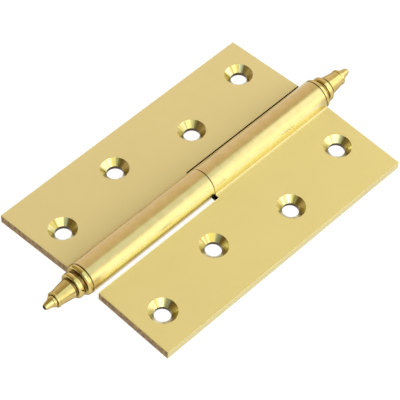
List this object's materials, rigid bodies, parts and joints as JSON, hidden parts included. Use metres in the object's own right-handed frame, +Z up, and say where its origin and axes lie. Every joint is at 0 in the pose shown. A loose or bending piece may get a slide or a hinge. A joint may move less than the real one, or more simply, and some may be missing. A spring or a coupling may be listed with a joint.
{
  "type": "lift-off ball bearing hinge",
  "caption": "Lift-off butt hinge in satin gold brass: rectangular leaves with staggered countersunk holes, a split barrel on a hidden pin and ball, and turned finials.",
  "frame": {"origin": "on the surface that the hinge lies on, under the middle of the pin", "axes": "+X across the leaves towards the door leaf, +Y along the pin towards the upper finial, +Z up"},
  "size_m": [0.0698, 0.1302, 0.0105],
  "materials": {
    "leaf_brass": "fine satin face, polished barrel, clear lacquer",
    "finial_brass": "turned and polished, clear lacquer",
    "pin_steel": "ground",
    "ball_steel": "polished"
  },
  "bodies": {
    "frame": {"frame_leaf": "leaf_brass", "hinge_pin": "pin_steel", "lower_finial": "finial_brass"},
    "ball": {"thrust_ball": "ball_steel"},
    "door": {"door_leaf": "leaf_brass", "upper_finial": "finial_brass"}
  },
  "joints": [
    {"name": "lift_off", "type": "slide", "parent": "frame", "child": "ball", "axis": [0, 1, 0], "range_m": [0, 0.032]},
    {"name": "door_swing", "type": "hinge", "parent": "ball", "child": "door", "pos_m": [0, 0, 0.00525], "axis": [0, 1, 0], "range_deg": [-186.07, 113.92]}
  ]
}
